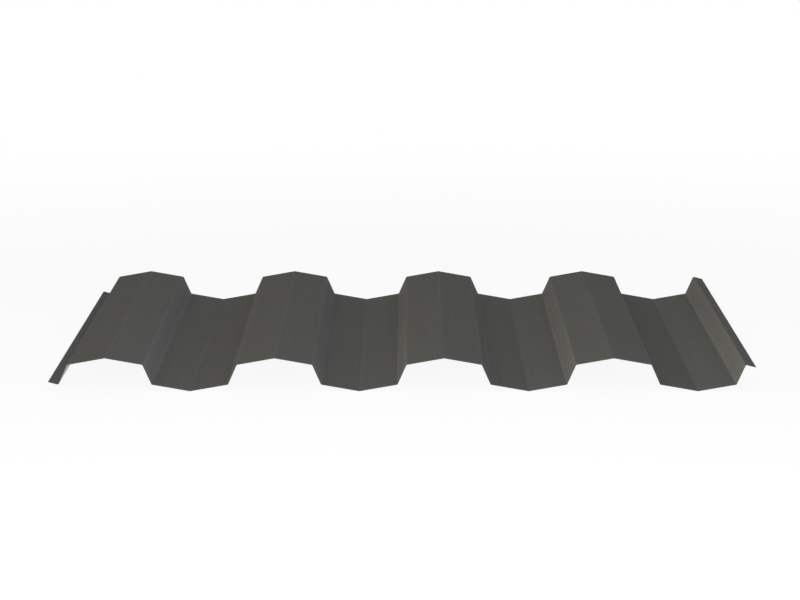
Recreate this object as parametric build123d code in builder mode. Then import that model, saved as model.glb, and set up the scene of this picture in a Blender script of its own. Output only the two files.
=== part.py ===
from build123d import *
from math import atan2, cos, degrees, radians
import os

# A roll-formed steel cladding sheet, folded from one strip.
# Crests and valleys alternate across X and run the whole length along Y.
# Each crest is peaked and each valley is dished by one shallow fold down its middle.
# Steep webs join them, and a flared lip stiffens each side edge where sheets lap.
# The origin is under the middle of the sheet, on the floor that its valleys rest on.

# Driving dimensions, in millimetres and degrees
pitch = 203.2  # one crest to the next
pitches_covered = 4  # the cover width, counted in pitches
sheet_length = 609.6  # along the ridges
gauge = 0.65  # steel and both coats
crest_width = 90.5  # shoulder to shoulder
valley_width = 91.2  # foot to foot of the webs beside it
web_height = 24.2  # foot of a web to its shoulder
crest_rise = 8.0  # shoulder up to the peak fold
valley_drop = 8.0  # foot of a web down to the dished fold
lip_length = 12.7  # fold to sheared edge
lip_angle = 14.3  # off level, away from the sheet that laps it
bend_radius = 1.6  # inside each fold

# Sizes that follow from them, all taken on the middle of the strip's thickness
web_run = (pitch - crest_width - valley_width) / 2
bend_centre_radius = bend_radius + gauge / 2
lip_run = lip_length * cos(radians(lip_angle))
cover_width = pitches_covered * pitch
overall_run = cover_width + web_run + 2 * lip_run

# A fold's arc passes inside its corner, so the dished fold is lifted less than half the gauge
valley_slope = atan2(valley_drop, valley_width / 2)
arc_inside_corner = bend_centre_radius * (1 / cos(valley_slope) - 1)
dish_height = gauge / 2 - arc_inside_corner
foot_height = dish_height + valley_drop
shoulder_height = foot_height + web_height
peak_height = shoulder_height + crest_rise


def corrugation(foot_x):
    """Folds of one pitch, from the foot of a web over the crest and through the valley."""
    left_shoulder = foot_x + web_run
    right_shoulder = left_shoulder + crest_width
    right_foot = right_shoulder + web_run
    return [
        (foot_x, foot_height),
        (left_shoulder, shoulder_height),
        (left_shoulder + crest_width / 2, peak_height),
        (right_shoulder, shoulder_height),
        (right_foot, foot_height),
        (right_foot + valley_width / 2, dish_height),
    ]


first_foot = lip_run - overall_run / 2
last_foot = first_foot + cover_width

folds = []
for n in range(pitches_covered):
    folds += corrugation(first_foot + n * pitch)
folds += [(last_foot, foot_height), (last_foot + web_run, shoulder_height)]

# Both lips lean away from the strip beside them: the left one up, the right one down
with BuildPart() as corrugated_sheet:
    with BuildSketch(Plane.XZ):
        with BuildLine():
            left_lip = PolarLine(folds[0], lip_length, 180 - lip_angle, mode=Mode.PRIVATE)
            right_lip = PolarLine(folds[-1], lip_length, -lip_angle, mode=Mode.PRIVATE)
            FilletPolyline(left_lip @ 1, *folds, right_lip @ 1, radius=bend_centre_radius)
        trace(line_width=gauge)
    extrude(amount=sheet_length / 2, both=True)

os.makedirs("parts", exist_ok=True)
corrugated_sheet.part.label = "corrugated_sheet"
export_step(corrugated_sheet.part, "parts/corrugated_sheet.step")

box = corrugated_sheet.part.bounding_box()
print("overall", box.size, "lowest", box.min.Z, "web angle", degrees(atan2(web_height, web_run)))
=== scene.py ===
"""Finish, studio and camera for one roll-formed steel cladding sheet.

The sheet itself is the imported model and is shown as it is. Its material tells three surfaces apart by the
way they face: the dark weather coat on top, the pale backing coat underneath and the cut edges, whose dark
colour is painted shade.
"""

import logging
import math
from collections.abc import Sequence
from dataclasses import dataclass
from enum import Enum
from typing import Union

import bmesh
import bpy
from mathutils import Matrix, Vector

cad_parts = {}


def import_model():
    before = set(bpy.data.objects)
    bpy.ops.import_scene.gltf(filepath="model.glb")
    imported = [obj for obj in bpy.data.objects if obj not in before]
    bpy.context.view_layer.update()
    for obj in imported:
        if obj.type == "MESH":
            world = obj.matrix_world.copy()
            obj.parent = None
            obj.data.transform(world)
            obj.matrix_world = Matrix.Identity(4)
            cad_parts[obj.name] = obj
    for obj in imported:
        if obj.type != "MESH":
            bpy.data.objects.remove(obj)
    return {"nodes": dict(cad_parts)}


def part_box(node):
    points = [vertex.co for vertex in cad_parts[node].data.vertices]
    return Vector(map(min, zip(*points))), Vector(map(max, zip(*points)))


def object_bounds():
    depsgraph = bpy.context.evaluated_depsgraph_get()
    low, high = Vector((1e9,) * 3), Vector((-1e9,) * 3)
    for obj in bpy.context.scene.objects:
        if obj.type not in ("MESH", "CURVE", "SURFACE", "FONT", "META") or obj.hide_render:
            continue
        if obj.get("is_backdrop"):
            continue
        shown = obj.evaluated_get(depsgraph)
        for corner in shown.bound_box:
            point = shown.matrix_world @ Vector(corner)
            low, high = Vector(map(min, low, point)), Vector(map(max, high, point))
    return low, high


LOG = logging.getLogger("profiled_sheet")
MICROMETRE = 0.000001
WHITE = (1.0, 1.0, 1.0, 1.0)

Socket = bpy.types.NodeSocket
Feed = Union[Socket, float, Sequence[float]]


class Along(Enum):
    """The way a pattern runs on the sheet, as its scale in X, Y and Z."""

    RIDGE = (1.0, 0.012, 1.0)
    EVEN = (1.0, 1.0, 1.0)


class Blend(Enum):
    """What a Mix node blends."""

    NUMBER = "FLOAT"
    COLOUR = "RGBA"


@dataclass(frozen=True)
class Pattern:
    """A soft random pattern, with values about 0.5.

    Attributes:
        size: The width of one blotch, in metres.
        detail: How many finer octaves it has.
        along: The way it runs on the sheet.
        span: The values between which it changes a colour. Past them it changes nothing more.
    """

    size: float
    detail: float
    along: Along = Along.EVEN
    span: tuple[float, float] = (0.2, 0.8)


@dataclass
class Graph:
    """A shader tree and the few ways in which this script adds to it.

    Attributes:
        tree: The node tree that is filled.
    """

    tree: bpy.types.NodeTree

    def add(self, kind: str, **settings: object) -> bpy.types.Node:
        """Adds a node.

        Args:
            kind: The node's Blender type.
            **settings: Properties to set on it.

        Returns:
            The new node.
        """
        node = self.tree.nodes.new(kind)
        for name, value in settings.items():
            setattr(node, name, value)
        return node

    def feed(self, socket: Socket, value: Feed) -> None:
        """Links another node's output to a socket, or sets the socket's own value.

        Args:
            socket: The input to fill.
            value: An output socket, a number or a tuple.
        """
        if isinstance(value, bpy.types.NodeSocket):
            self.tree.links.new(value, socket)
        else:
            socket.default_value = value

    def compute(self, operation: str, *values: Feed, clamp: bool = False) -> Socket:
        """Works out one number.

        Args:
            operation: The Math node's operation.
            *values: Its inputs in order.
            clamp: Whether the result is kept between 0 and 1.

        Returns:
            The result.
        """
        node = self.add("ShaderNodeMath", operation=operation, use_clamp=clamp)
        for socket, value in zip(node.inputs, values):
            self.feed(socket, value)
        return node.outputs["Value"]

    def spread(self, value: Feed, low: float, high: float, to_low: float, to_high: float) -> Socket:
        """Carries a number smoothly from one span to another.

        Args:
            value: The number.
            low: Where the span starts.
            high: Where it ends.
            to_low: What it becomes at or below the start.
            to_high: What it becomes at or above the end.

        Returns:
            The carried number.
        """
        node = self.add("ShaderNodeMapRange", interpolation_type="SMOOTHSTEP", clamp=True)
        self.feed(node.inputs["Value"], value)
        self.feed(node.inputs["From Min"], low)
        self.feed(node.inputs["From Max"], high)
        self.feed(node.inputs["To Min"], to_low)
        self.feed(node.inputs["To Max"], to_high)
        return node.outputs["Result"]

    def vary(self, value: Socket, pattern: Pattern, share: float) -> Socket:
        """Turns a pattern's value into a gain about 1.

        Args:
            value: The pattern's value.
            pattern: The pattern.
            share: How far the gain goes each way.

        Returns:
            The gain.
        """
        return self.spread(value, *pattern.span, 1 - share, 1 + share)

    def mix(self, share: Feed, first: Feed, second: Feed, blend: Blend = Blend.NUMBER) -> Socket:
        """Mixes two numbers or two colours.

        Args:
            share: How much of the second shows, from 0 to 1.
            first: What shows at 0.
            second: What shows at 1.
            blend: Which of the two kinds they are.

        Returns:
            The mixed value.
        """
        node = self.add("ShaderNodeMix", data_type=blend.value)
        inputs = [socket for socket in node.inputs if socket.enabled]
        for socket, value in zip(inputs, (share, first, second)):
            self.feed(socket, value)
        return next(socket for socket in node.outputs if socket.enabled)

    def tint(self, colour: Feed, gain: Feed) -> Socket:
        """Makes a colour lighter or darker.

        Args:
            colour: The colour.
            gain: What each of its channels is multiplied by.

        Returns:
            The changed colour.
        """
        node = self.add("ShaderNodeVectorMath", operation="SCALE")
        self.feed(node.inputs[0], colour)
        self.feed(node.inputs["Scale"], gain)
        return node.outputs["Vector"]

    def noise(self, at: Socket, pattern: Pattern, seed: float) -> Socket:
        """Lays a pattern.

        Args:
            at: The coordinates, in metres.
            pattern: The pattern.
            seed: Which one of its kind it is.

        Returns:
            Its value.
        """
        place = self.add("ShaderNodeMapping", vector_type="POINT")
        self.feed(place.inputs["Vector"], at)
        place.inputs["Scale"].default_value = pattern.along.value
        place.inputs["Location"].default_value = (seed, seed, seed)
        node = self.add("ShaderNodeTexNoise", noise_dimensions="3D")
        self.feed(node.inputs["Vector"], place.outputs["Vector"])
        node.inputs["Scale"].default_value = 1.0 / pattern.size
        node.inputs["Detail"].default_value = pattern.detail
        return node.outputs["Fac"]


@dataclass(frozen=True)
class Section:
    """The sheet's section, in metres and degrees.

    Attributes:
        pitch: One crest to the next.
        crest_width: Shoulder to shoulder.
        valley_width: Foot to foot of the webs beside it.
        web_height: Foot of a web to its shoulder.
        lip_length: The fold of a side lip to its sheared edge.
        lip_angle: How far a side lip slopes off level.
    """

    pitch: float = 0.2032
    crest_width: float = 0.0905
    valley_width: float = 0.0912
    web_height: float = 0.0242
    lip_length: float = 0.0127
    lip_angle: float = 14.3

    @property
    def web_run(self) -> float:
        """How far a web carries sideways."""
        return (self.pitch - self.crest_width - self.valley_width) / 2

    @property
    def lip_run(self) -> float:
        """How far a side lip reaches outwards."""
        return self.lip_length * math.cos(math.radians(self.lip_angle))

    @property
    def web_facing(self) -> float:
        """The upward part of the way a web faces."""
        return self.web_run / math.hypot(self.web_run, self.web_height)

    @property
    def lip_end_facing(self) -> float:
        """The upward part of the way a side lip's cut end faces."""
        return math.sin(math.radians(self.lip_angle))

    def folds(self) -> list[float]:
        """Lists the folds of one pitch.

        Returns:
            Their distances from the foot of its first web, up to the foot of the next pitch's.
        """
        left_shoulder = self.web_run
        right_shoulder = left_shoulder + self.crest_width
        right_foot = right_shoulder + self.web_run
        peak = left_shoulder + self.crest_width / 2
        dish = right_foot + self.valley_width / 2
        return [0.0, left_shoulder, peak, right_shoulder, right_foot, dish, self.pitch]


@dataclass(frozen=True)
class Layer:
    """What one finish gives the shader.

    Attributes:
        colour: Its colour.
        roughness: Its roughness.
        height: Its relief, in metres.
    """

    colour: Feed
    roughness: Feed
    height: Feed


CLOUDS = Pattern(size=0.11, detail=3.0, span=(0.25, 0.75))
STREAKS = Pattern(size=0.0045, detail=3.0, along=Along.RIDGE)
SPECKS = Pattern(size=0.0022, detail=3.0)
ORANGE_PEEL = Pattern(size=0.0028, detail=2.0)
TEAR_MARKS = Pattern(size=0.0009, detail=2.0)


@dataclass(frozen=True)
class CoilCoat:
    """A paint that was rolled on to flat strip and then folded with it.

    Attributes:
        colour: Its colour at plain light, linear.
        roughness: Its mean roughness.
        cloud: How far slow clouds change its lightness.
        streak: How far roller streaks change its lightness.
        speck: How far pigment grain changes its lightness.
        peel: The height of its orange peel, in metres.
        burnish: How much smoother it is where the forming rolls bore on a fold.
        crease: How much lighter it is where it was stretched round a fold.
        seed: Which clouds and streaks of their kind it has.
        cloud_matting: How much the clouds change its roughness.
        streak_matting: How much the streaks change its roughness.
        wear_span: The streaks' values between which the wear on a fold grows.
        least_wear: The wear on a fold where the streaks keep it off.
    """

    colour: tuple[float, float, float]
    roughness: float
    cloud: float
    streak: float
    speck: float
    peel: float
    burnish: float
    crease: float
    seed: float
    cloud_matting: float = 0.10
    streak_matting: float = 0.08
    wear_span: tuple[float, float] = (0.3, 0.7)
    least_wear: float = 0.35

    def lay(self, graph: Graph, at: Socket, fold: Socket) -> Layer:
        """Adds the paint's nodes.

        Args:
            graph: The tree to add to.
            at: Object coordinates.
            fold: 1 on a fold and 0 away from it.

        Returns:
            The paint as a layer.
        """
        clouds = graph.noise(at, CLOUDS, self.seed)
        streaks = graph.noise(at, STREAKS, self.seed + 1)
        specks = graph.noise(at, SPECKS, self.seed + 2)
        wear = graph.spread(streaks, *self.wear_span, self.least_wear, 1.0)
        worn = graph.compute("MULTIPLY", fold, wear)

        gain = graph.vary(clouds, CLOUDS, self.cloud)
        gain = graph.compute("MULTIPLY", gain, graph.vary(streaks, STREAKS, self.streak))
        gain = graph.compute("MULTIPLY", gain, graph.vary(specks, SPECKS, self.speck))
        gain = graph.compute("MULTIPLY_ADD", worn, self.crease, gain)

        smoothest = self.roughness - (self.cloud_matting + self.streak_matting) / 2
        rough = graph.compute("MULTIPLY_ADD", clouds, self.cloud_matting, smoothest)
        rough = graph.compute("MULTIPLY_ADD", streaks, self.streak_matting, rough)
        rough = graph.compute("MULTIPLY_ADD", worn, -self.burnish, rough, clamp=True)

        relief = graph.noise(at, ORANGE_PEEL, self.seed + 3)
        height = graph.compute("MULTIPLY", relief, self.peel)
        return Layer(graph.tint(self.colour, gain), rough, height)


@dataclass(frozen=True)
class ShearedEdge:
    """The edge where the strip and the sheet were cut, with its dark colour painted shade: bare steel would
    be bright.

    Attributes:
        colour: Its colour, linear: painted shade, far darker than bare steel, so that the edge reads dark
            under the low lamps.
        roughness: Its mean roughness.
        tear: The height of the tear marks, in metres.
        matting: How much the tear marks change its roughness.
        gains: What the colour is multiplied by in a tear mark and beside it.
        seed: Which tear marks of their kind it has.
    """

    colour: tuple[float, float, float]
    roughness: float
    tear: float
    matting: float = 0.2
    gains: tuple[float, float] = (0.7, 1.2)
    seed: float = 31.0

    def lay(self, graph: Graph, at: Socket) -> Layer:
        """Adds the edge's nodes.

        Args:
            graph: The tree to add to.
            at: Object coordinates.

        Returns:
            The edge as a layer.
        """
        marks = graph.noise(at, TEAR_MARKS, self.seed)
        colour = graph.tint(self.colour, graph.spread(marks, *TEAR_MARKS.span, *self.gains))
        rough = graph.compute("MULTIPLY_ADD", marks, self.matting, self.roughness - self.matting / 2)
        return Layer(colour, rough, graph.compute("MULTIPLY", marks, self.tear))


WEATHER_COAT = CoilCoat(
    colour=(0.0712, 0.0689, 0.0614),
    roughness=0.94,
    cloud=0.035,
    streak=0.045,
    speck=0.09,
    peel=14 * MICROMETRE,
    burnish=0.08,
    crease=0.04,
    seed=3.0,
)
BACKING_COAT = CoilCoat(
    colour=(0.350, 0.340, 0.318),
    roughness=0.94,
    cloud=0.04,
    streak=0.05,
    speck=0.06,
    peel=10 * MICROMETRE,
    burnish=0.05,
    crease=-0.06,
    seed=17.0,
)
# The cut edges' colour is painted shade: far darker than bare steel, so that they read dark though the low
# front lamps light them strongly.
CUT_EDGE_PAINTED_SHADE = ShearedEdge(colour=(0.018, 0.018, 0.0175), roughness=0.55, tear=10 * MICROMETRE)


@dataclass(frozen=True)
class SheetFinish:
    """The one material of the sheet.

    Attributes:
        section: The sheet's section.
        first_foot: Where the foot of the first web stands in X, in metres.
        weather: The paint on top.
        backing: The paint underneath.
        edge: The cut edges.
        sheen: How strongly the surfaces mirror their surroundings.
        fold_reach: How far from a fold its wear reaches each way, in metres.
    """

    section: Section
    first_foot: float
    weather: CoilCoat
    backing: CoilCoat
    edge: ShearedEdge
    sheen: float = 0.12
    fold_reach: float = 0.003

    def facing(self, graph: Graph) -> tuple[Socket, Socket]:
        """Tells the surfaces apart by the upward part of the way they face.

        Args:
            graph: The tree to add to.

        Returns:
            Two masks, 1 on the backing side and 1 on a cut edge.
        """
        turn = graph.add("ShaderNodeSeparateXYZ")
        graph.feed(turn.inputs[0], graph.add("ShaderNodeTexCoord").outputs["Normal"])
        up = turn.outputs["Z"]
        between = (self.section.web_facing + self.section.lip_end_facing) / 2
        below = graph.compute("LESS_THAN", up, 0.0)
        cut = graph.compute("LESS_THAN", graph.compute("ABSOLUTE", up), between)
        return below, cut

    def near_fold(self, graph: Graph, at: Socket) -> Socket:
        """Marks a band beside each fold.

        Args:
            graph: The tree to add to.
            at: Object coordinates.

        Returns:
            A mask that falls from 1 on a fold to 0 at the band's edge.
        """
        split = graph.add("ShaderNodeSeparateXYZ")
        graph.feed(split.inputs[0], at)
        across = graph.compute("SUBTRACT", split.outputs["X"], self.first_foot)
        place = graph.compute("FLOORED_MODULO", across, self.section.pitch)
        nearest: Feed = self.section.pitch
        for fold in self.section.folds():
            away = graph.compute("ABSOLUTE", graph.compute("SUBTRACT", place, fold))
            nearest = graph.compute("MINIMUM", nearest, away)
        return graph.spread(nearest, 0.0, self.fold_reach, 1.0, 0.0)

    def build(self) -> bpy.types.Material:
        """Makes the material.

        Returns:
            The finished material.
        """
        material = bpy.data.materials.new("coil_coated_steel")
        material.use_nodes = True
        graph = Graph(material.node_tree)
        graph.tree.nodes.clear()
        at = graph.add("ShaderNodeTexCoord").outputs["Object"]
        fold = self.near_fold(graph, at)
        below, cut = self.facing(graph)
        weather = self.weather.lay(graph, at, fold)
        backing = self.backing.lay(graph, at, fold)
        edge = self.edge.lay(graph, at)

        shader = graph.add("ShaderNodeBsdfPrincipled")
        shader.inputs["Specular IOR Level"].default_value = self.sheen
        coated = graph.mix(below, weather.colour, backing.colour, Blend.COLOUR)
        graph.feed(shader.inputs["Base Color"], graph.mix(cut, coated, edge.colour, Blend.COLOUR))
        coated = graph.mix(below, weather.roughness, backing.roughness)
        graph.feed(shader.inputs["Roughness"], graph.mix(cut, coated, edge.roughness))

        # The layers' heights are true ones in metres, so the bump takes them as they are
        bump = graph.add("ShaderNodeBump")
        bump.inputs["Strength"].default_value = 1.0
        bump.inputs["Distance"].default_value = 1.0
        coated = graph.mix(below, weather.height, backing.height)
        graph.feed(bump.inputs["Height"], graph.mix(cut, coated, edge.height))
        graph.feed(shader.inputs["Normal"], bump.outputs["Normal"])
        out = graph.add("ShaderNodeOutputMaterial")
        graph.feed(out.inputs["Surface"], shader.outputs["BSDF"])
        return material


@dataclass
class ProfiledSheet:
    """The sheet as it was packed.

    Attributes:
        node: Its object.
        section: Its section.
    """

    node: bpy.types.Object
    section: Section

    def dress(self) -> None:
        """Gives the sheet its finish."""
        low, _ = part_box(self.node.name)
        first_foot = low.x + self.section.lip_run
        finish = SheetFinish(self.section, first_foot, WEATHER_COAT, BACKING_COAT, CUT_EDGE_PAINTED_SHADE)
        material = finish.build()
        for slot in self.node.material_slots:
            slot.material = material


def seen_or_mirrored(graph: Graph) -> Socket:
    """Marks the rays that come from the camera, a reflection or clear stuff.

    Args:
        graph: The tree to add to.

    Returns:
        1 for such a ray and 0 for others.
    """
    path = graph.add("ShaderNodeLightPath")
    either = graph.compute("MAXIMUM", path.outputs["Is Camera Ray"], path.outputs["Is Glossy Ray"])
    return graph.compute("MAXIMUM", either, path.outputs["Is Transmission Ray"])


@dataclass(frozen=True)
class Lamp:
    """A soft fill lamp that faces the origin.

    It casts no shadow, because from so low the crests would throw theirs along the valleys. It isn't
    mirrored in the paint, where it would glare in a view from behind. The shadow on the floor and what
    the paint mirrors come from the room.

    Attributes:
        name: Its name.
        azimuth: How far round to the right of the front it stands, in degrees.
        elevation: How far above level it is seen from the origin, in degrees.
        distance: How far it is from the origin, in metres.
        size: Its width and height, in metres.
        power: Its power, in watts.
        colour: Its colour, linear.
    """

    name: str
    azimuth: float
    elevation: float
    distance: float
    size: tuple[float, float]
    power: float
    colour: tuple[float, float, float]

    @property
    def place(self) -> Vector:
        """Where it stands."""
        around, up = math.radians(self.azimuth), math.radians(self.elevation)
        level = self.distance * math.cos(up)
        height = self.distance * math.sin(up)
        return Vector((level * math.sin(around), -level * math.cos(around), height))

    def hang(self) -> None:
        """Adds the lamp to the scene."""
        data = bpy.data.lights.new(self.name, "AREA")
        data.shape = "RECTANGLE"
        data.size, data.size_y = self.size
        data.energy = self.power
        data.color = self.colour
        data.use_shadow = False
        lamp = bpy.data.objects.new(self.name, data)
        lamp.location = self.place
        lamp.rotation_euler = (-self.place).to_track_quat("-Z", "Y").to_euler()
        lamp.visible_glossy = False
        bpy.context.scene.collection.objects.link(lamp)


LAMPS = (
    Lamp(
        name="left_strip",
        azimuth=-15.0,
        elevation=3.0,
        distance=2.6,
        size=(1.0, 0.25),
        power=157.0,
        colour=(1.0, 0.987, 0.931),
    ),
    Lamp(
        name="right_strip",
        azimuth=8.0,
        elevation=5.0,
        distance=2.6,
        size=(1.0, 0.25),
        power=171.0,
        colour=(0.714, 0.790, 1.0),
    ),
)


@dataclass(frozen=True)
class Studio:
    """A pale floor and soft light.

    Attributes:
        floor_level: The height that the sheet rests at, in metres.
        lamps: The lamps.
        floor_radius: How far the floor reaches, in metres.
        floor_sides: How many sides its rim has.
        paleness: How pale the floor is to the light that falls on it.
        glow: The share of the floor's white that no shadow takes away, near the sheet.
        shadow_reach: Where that share starts to rise and where it is whole, in metres from the origin.
        ambient: How brightly the room lights the sheet from all round.
    """

    floor_level: float
    lamps: tuple[Lamp, ...]
    floor_radius: float = 40.0
    floor_sides: int = 64
    paleness: float = 0.8
    glow: float = 0.88
    shadow_reach: tuple[float, float] = (0.5, 2.2)
    ambient: float = 0.60

    def lay_floor(self) -> None:
        """Makes the floor, white to the eye, with the sheet's soft shadow on it."""
        mesh = bpy.data.meshes.new("floor")
        shape = bmesh.new()
        bmesh.ops.create_circle(shape, cap_ends=True, segments=self.floor_sides, radius=self.floor_radius)
        bmesh.ops.translate(shape, verts=shape.verts, vec=(0.0, 0.0, self.floor_level))
        shape.to_mesh(mesh)
        shape.free()
        floor = bpy.data.objects.new("floor", mesh)
        bpy.context.scene.collection.objects.link(floor)
        mesh.materials.append(self.floor_finish())
        floor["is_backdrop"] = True

    def floor_finish(self) -> bpy.types.Material:
        """Makes the floor's material.

        Returns:
            The material.
        """
        material = bpy.data.materials.new("pale_floor")
        material.use_nodes = True
        graph = Graph(material.node_tree)
        graph.tree.nodes.clear()
        plain = graph.add("ShaderNodeBsdfDiffuse")
        plain.inputs["Color"].default_value = (self.paleness, self.paleness, self.paleness, 1.0)
        glowing = graph.add("ShaderNodeEmission")
        glowing.inputs["Color"].default_value = WHITE
        away = graph.add("ShaderNodeVectorMath", operation="LENGTH")
        graph.feed(away.inputs[0], graph.add("ShaderNodeTexCoord").outputs["Object"])
        glow = graph.spread(away.outputs["Value"], *self.shadow_reach, self.glow, 1.0)
        share = graph.compute("MULTIPLY", seen_or_mirrored(graph), glow)
        blend = graph.add("ShaderNodeMixShader")
        graph.feed(blend.inputs[0], share)
        graph.feed(blend.inputs[1], plain.outputs["BSDF"])
        graph.feed(blend.inputs[2], glowing.outputs["Emission"])
        out = graph.add("ShaderNodeOutputMaterial")
        graph.feed(out.inputs["Surface"], blend.outputs["Shader"])
        return material

    def light(self) -> None:
        """Lights the room and hangs the lamps."""
        world = bpy.data.worlds.new("studio")
        world.use_nodes = True
        graph = Graph(world.node_tree)
        graph.tree.nodes.clear()
        sky = graph.add("ShaderNodeBackground")
        sky.inputs["Color"].default_value = WHITE
        graph.feed(sky.inputs["Strength"], graph.mix(seen_or_mirrored(graph), self.ambient, 1.0))
        out = graph.add("ShaderNodeOutputWorld")
        graph.feed(out.inputs["Surface"], sky.outputs["Background"])
        bpy.context.scene.world = world
        for lamp in self.lamps:
            lamp.hang()


@dataclass(frozen=True)
class ProductCamera:
    """The camera of the product picture, as it was fitted to the outlines of the sheet there.

    Attributes:
        place: Where it stands, in metres.
        tilt: How far it looks down, in degrees.
        focal_length: Its focal length, in millimetres.
        sensor: The width of its picture, in millimetres.
        shift: How far right and up the picture is cut off centre, as shares of its width.
    """

    place: tuple[float, float, float] = (0.0062, -3.4980, 0.6982)
    tilt: float = 10.426
    focal_length: float = 122.61
    sensor: float = 36.0
    shift: tuple[float, float] = (-0.00876, 0.00063)

    def set_up(self) -> None:
        """Adds the camera and makes it the scene's own."""
        data = bpy.data.cameras.new("product_camera")
        data.lens = self.focal_length
        data.sensor_width = self.sensor
        data.shift_x, data.shift_y = self.shift
        camera = bpy.data.objects.new("product_camera", data)
        camera.location = self.place
        camera.rotation_euler = (math.radians(90.0 - self.tilt), 0.0, 0.0)
        bpy.context.scene.collection.objects.link(camera)
        bpy.context.scene.camera = camera


def main() -> None:
    """Builds the scene piece by piece."""
    logging.basicConfig(level=logging.INFO, format="%(message)s")
    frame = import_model()
    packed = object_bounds()
    bpy.context.scene.view_settings.view_transform = "Standard"
    ProductCamera().set_up()
    LOG.info("camera set up")
    sheet = ProfiledSheet(frame["nodes"]["corrugated_sheet"], Section())
    sheet.dress()
    LOG.info("sheet dressed")
    studio = Studio(packed[0].z, LAMPS)
    studio.lay_floor()
    LOG.info("floor laid")
    studio.light()
    LOG.info("studio lit by %d lamps", len(LAMPS))


if __name__ == "__main__":
    main()
